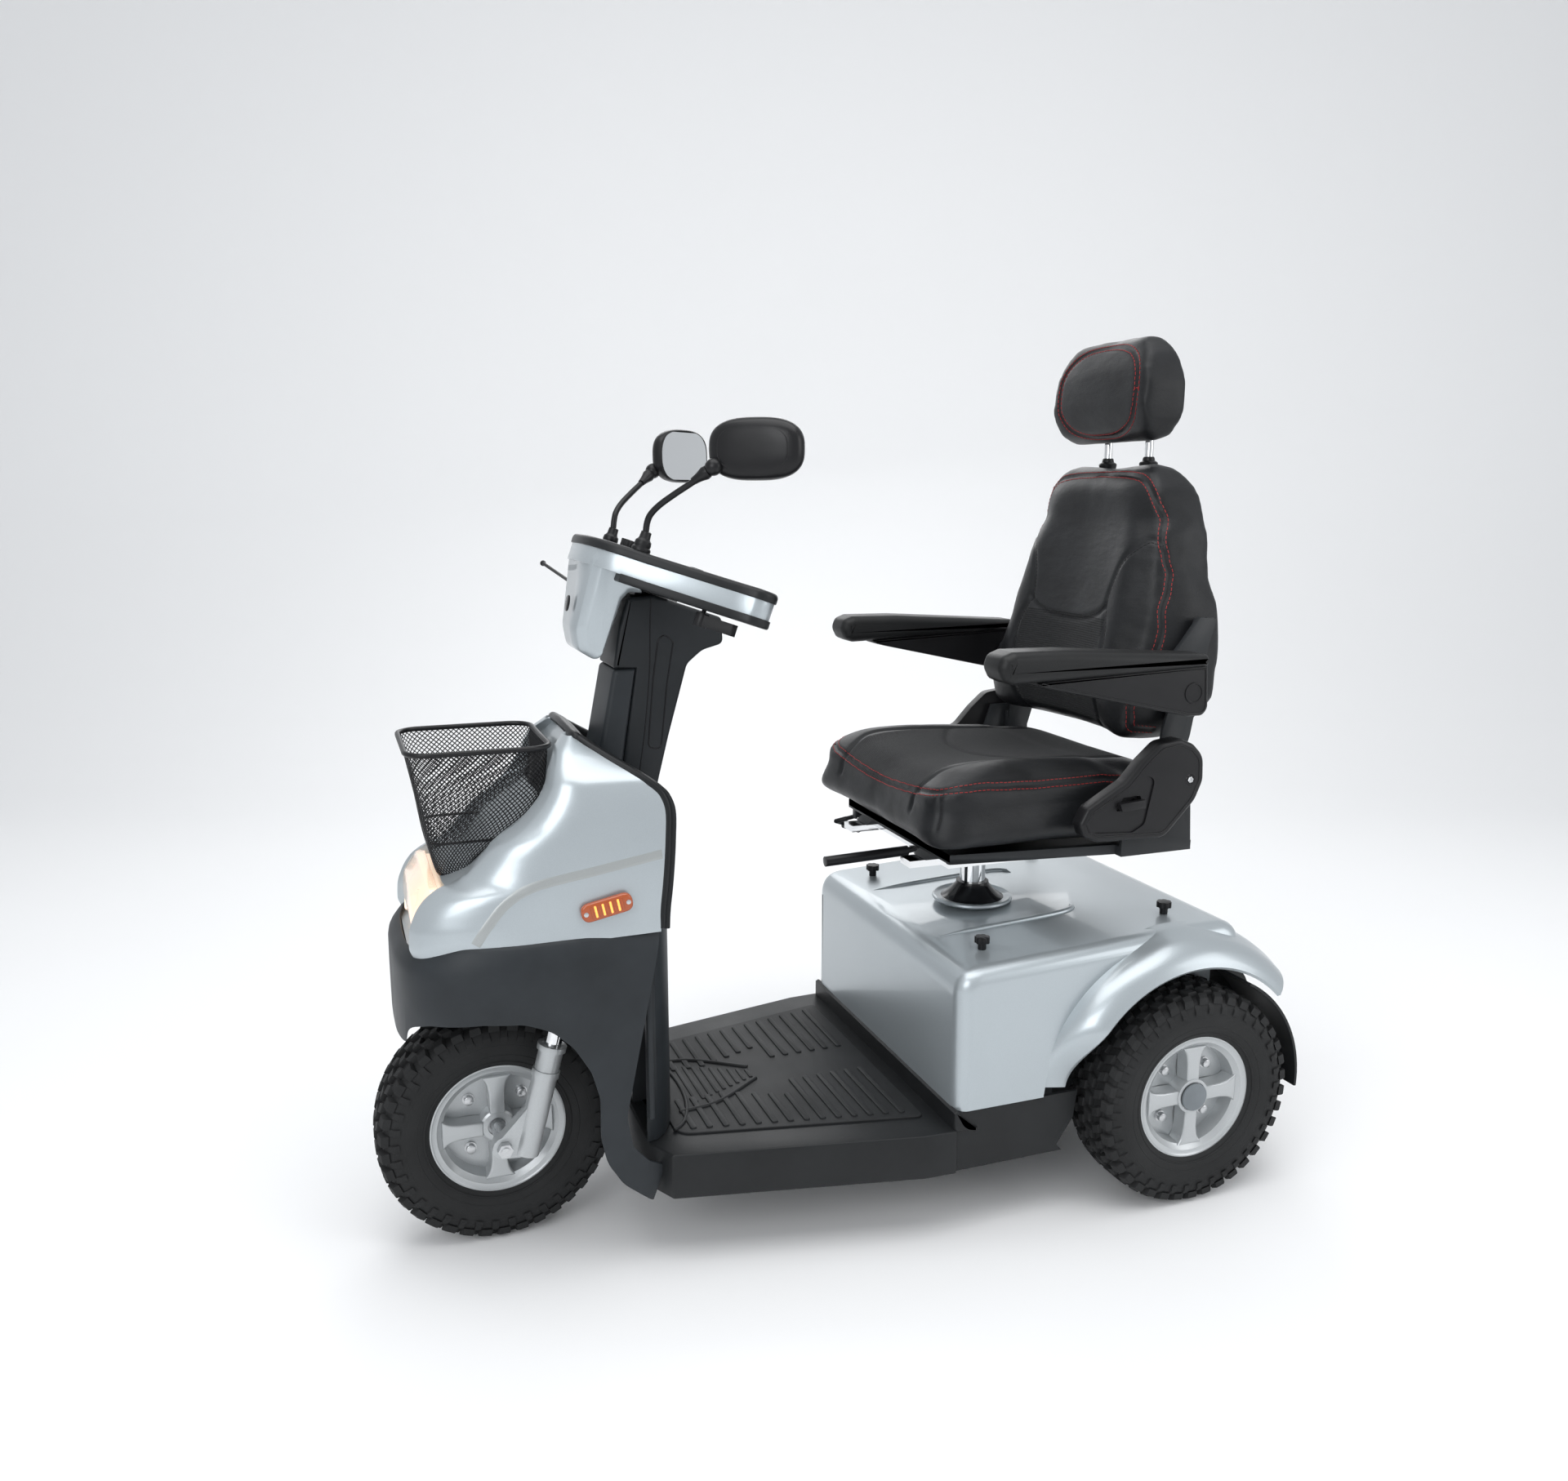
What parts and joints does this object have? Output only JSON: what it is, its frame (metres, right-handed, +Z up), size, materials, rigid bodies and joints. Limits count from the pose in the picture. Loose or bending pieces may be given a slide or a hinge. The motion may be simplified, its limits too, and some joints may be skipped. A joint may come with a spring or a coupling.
{
  "type": "mobility scooter",
  "caption": "Electric mobility scooter with sprung front wheel, tilting tiller, front basket and a swivelling, sliding, reclining seat.",
  "frame": {"origin": "on the ground, at the centre of the overall length and width", "axes": "+X forward, the way the scooter drives; +Y to the rider's left; +Z up"},
  "size_m": [1.356, 0.62, 1.264],
  "materials": {
    "frame_black": "satin",
    "floor_plastic": "fine textured",
    "mat_rubber": "matte ribbed",
    "shroud_plastic": "fine textured",
    "silver_paint": "metallic gloss",
    "trim_rubber": "satin",
    "lamp_silver": "polished",
    "lamp_clear": "clear",
    "lamp_amber": "translucent amber",
    "lamp_red": "translucent red",
    "basket_wire": "satin black",
    "knob_plastic": "satin",
    "flange_black": "gloss",
    "battery_case": "matte",
    "cast_alloy": "cast",
    "chrome": "polished",
    "wheel_silver": "satin metallic",
    "zinc": "zinc plated",
    "tyre": "matte",
    "cap_grey": "satin",
    "column_plastic": "fine textured",
    "console_black": "satin",
    "mirror_black": "satin",
    "mirror_glass": "polished",
    "leather": "grained",
    "seat_plastic": "fine textured",
    "arm_foam": "satin skin foam"
  },
  "bodies": {
    "chassis": {"chassis_frame": "frame_black", "platform": "floor_plastic", "floor_mat": "mat_rubber", "front_shroud": "shroud_plastic", "front_cowl": "silver_paint", "cowl_trim": "trim_rubber", "leg_shield": "shroud_plastic", "headlight_housing": "lamp_silver", "headlight_lens": "lamp_clear", "front_indicators": "lamp_amber", "basket": "basket_wire", "body_cover": "silver_paint", "rear_underbody": "floor_plastic", "cover_knobs": "knob_plastic", "seat_flange": "flange_black", "batteries": "battery_case", "transaxle": "cast_alloy", "tail_lights": "lamp_red"},
    "steering": {"steering_stem": "frame_black", "fork_stanchions": "chrome"},
    "fork_lower": {"fork_legs": "wheel_silver", "front_axle": "zinc"},
    "front_wheel": {"front_tyre": "tyre", "front_rim": "wheel_silver"},
    "tiller": {"tiller_tube": "frame_black", "column_front_cover": "shroud_plastic", "column_rear_cover": "column_plastic", "head_cover": "silver_paint", "console": "console_black"},
    "speed_dial": {"speed_dial": "knob_plastic"},
    "throttle_left": {"throttle_lever_left": "knob_plastic"},
    "throttle_right": {"throttle_lever_right": "knob_plastic"},
    "hand_brake": {"hand_brake_lever": "knob_plastic"},
    "mirror_arm_left": {"mirror_arm_left": "mirror_black"},
    "mirror_arm_right": {"mirror_arm_right": "mirror_black"},
    "mirror_left": {"mirror_shell_left": "mirror_black", "mirror_glass_left": "mirror_glass"},
    "mirror_right": {"mirror_shell_right": "mirror_black", "mirror_glass_right": "mirror_glass"},
    "rear_wheel_left": {"rear_tyre_left": "tyre", "rear_rim_left": "wheel_silver", "hub_cap_left": "cap_grey", "axle_shaft_left": "zinc"},
    "rear_wheel_right": {"rear_tyre_right": "tyre", "rear_rim_right": "wheel_silver", "hub_cap_right": "cap_grey", "axle_shaft_right": "zinc"},
    "seat_base": {"seat_pedestal": "chrome"},
    "swivel_lever": {"swivel_lever": "knob_plastic"},
    "seat": {"seat_frame": "frame_black", "seat_cushion": "leather", "hinge_covers": "seat_plastic"},
    "slide_lever": {"slide_lever": "knob_plastic"},
    "recline_lever": {"recline_lever": "knob_plastic"},
    "backrest": {"back_frame": "frame_black", "back_cushion": "leather"},
    "headrest": {"headrest_posts": "chrome", "headrest_cushion": "leather"},
    "armrest_left": {"armrest_left": "arm_foam"},
    "armrest_right": {"armrest_right": "arm_foam"}
  },
  "joints": [
    {"name": "steer", "type": "hinge", "parent": "chassis", "child": "steering", "pos_m": [0.40135, 0, 0.45478], "axis": [-0.2588, 0, 0.9659], "range_deg": [-38, 38]},
    {"name": "fork_travel", "type": "slide", "parent": "steering", "child": "fork_lower", "axis": [-0.2588, 0, 0.9659], "range_m": [0, 0.025], "stiffness_N_per_m": 12000, "springref_m": -0.03},
    {"name": "front_wheel_spin", "type": "hinge", "parent": "fork_lower", "child": "front_wheel", "pos_m": [0.513, 0, 0.165], "axis": [0, 1, 0], "continuous": true},
    {"name": "tiller_tilt", "type": "hinge", "parent": "steering", "child": "tiller", "pos_m": [0.36771, 0, 0.58035], "axis": [0, -1, 0], "range_deg": [-4, 14]},
    {"name": "speed_dial_turn", "type": "hinge", "parent": "tiller", "child": "speed_dial", "pos_m": [0.30354, 0, 0.96067], "axis": [-0.3338, 0, 0.9426], "range_deg": [0, 270]},
    {"name": "throttle_left_pull", "type": "hinge", "parent": "tiller", "child": "throttle_left", "pos_m": [0.24293, 0.162, 0.88617], "axis": [-0.3338, 0, 0.9426], "range_deg": [-18, 0], "stiffness_Nm_per_rad": 0.5, "springref_deg": 20.05},
    {"name": "throttle_right_pull", "type": "hinge", "parent": "tiller", "child": "throttle_right", "pos_m": [0.24293, -0.162, 0.88617], "axis": [-0.3338, 0, 0.9426], "range_deg": [0, 18], "stiffness_Nm_per_rad": 0.5, "springref_deg": -20.05},
    {"name": "hand_brake_pull", "type": "hinge", "parent": "tiller", "child": "hand_brake", "pos_m": [0.35, -0.079, 0.902], "axis": [0, 0, -1], "range_deg": [0, 12], "stiffness_Nm_per_rad": 1, "springref_deg": -11.46},
    {"name": "mirror_arm_left_turn", "type": "hinge", "parent": "tiller", "child": "mirror_arm_left", "pos_m": [0.30637, 0.094, 0.96167], "axis": [-0.3338, 0, 0.9426], "range_deg": [-25, 25]},
    {"name": "mirror_arm_right_turn", "type": "hinge", "parent": "tiller", "child": "mirror_arm_right", "pos_m": [0.30637, -0.094, 0.96167], "axis": [-0.3338, 0, 0.9426], "range_deg": [-25, 25]},
    {"name": "mirror_left_turn", "type": "hinge", "parent": "mirror_arm_left", "child": "mirror_left", "pos_m": [0.224, 0.151, 1.068], "axis": [0.7059, -0.4706, -0.5294], "range_deg": [-15, 15]},
    {"name": "mirror_right_turn", "type": "hinge", "parent": "mirror_arm_right", "child": "mirror_right", "pos_m": [0.224, -0.151, 1.068], "axis": [0.7059, 0.4706, -0.5294], "range_deg": [-15, 15]},
    {"name": "rear_wheel_left_spin", "type": "hinge", "parent": "chassis", "child": "rear_wheel_left", "pos_m": [-0.458, 0.26, 0.165], "axis": [0, 1, 0], "continuous": true},
    {"name": "rear_wheel_right_spin", "type": "hinge", "parent": "chassis", "child": "rear_wheel_right", "pos_m": [-0.458, -0.26, 0.165], "axis": [0, 1, 0], "continuous": true},
    {"name": "seat_swivel", "type": "hinge", "parent": "chassis", "child": "seat_base", "pos_m": [-0.245, 0, 0.4], "axis": [0, 0, 1], "range_deg": [-90, 90]},
    {"name": "swivel_lever_lift", "type": "hinge", "parent": "seat_base", "child": "swivel_lever", "pos_m": [-0.196, -0.034, 0.488], "axis": [0, -1, 0], "range_deg": [0, 4], "stiffness_Nm_per_rad": 4, "springref_deg": -20.05},
    {"name": "seat_slide", "type": "slide", "parent": "seat_base", "child": "seat", "axis": [1, 0, 0], "range_m": [-0.05, 0.05]},
    {"name": "slide_lever_lift", "type": "hinge", "parent": "seat", "child": "slide_lever", "pos_m": [-0.127, -0.168, 0.511], "axis": [1, 0, 0], "range_deg": [-8, 0], "stiffness_Nm_per_rad": 1.5, "springref_deg": 14.32},
    {"name": "recline_lever_lift", "type": "hinge", "parent": "seat", "child": "recline_lever", "pos_m": [-0.362, 0.24, 0.608], "axis": [0, -1, 0], "range_deg": [0, 12], "stiffness_Nm_per_rad": 0.5, "springref_deg": -11.46},
    {"name": "backrest_recline", "type": "hinge", "parent": "seat", "child": "backrest", "pos_m": [-0.44, 0, 0.64], "axis": [0, -1, 0], "range_deg": [-10, 25]},
    {"name": "headrest_height", "type": "slide", "parent": "backrest", "child": "headrest", "axis": [0, 0, 1], "range_m": [0, 0.05]},
    {"name": "armrest_left_lift", "type": "hinge", "parent": "backrest", "child": "armrest_left", "pos_m": [-0.428, 0.262, 0.763], "axis": [0, -1, 0], "range_deg": [0, 90]},
    {"name": "armrest_right_lift", "type": "hinge", "parent": "backrest", "child": "armrest_right", "pos_m": [-0.428, -0.262, 0.763], "axis": [0, -1, 0], "range_deg": [0, 90]}
  ]
}
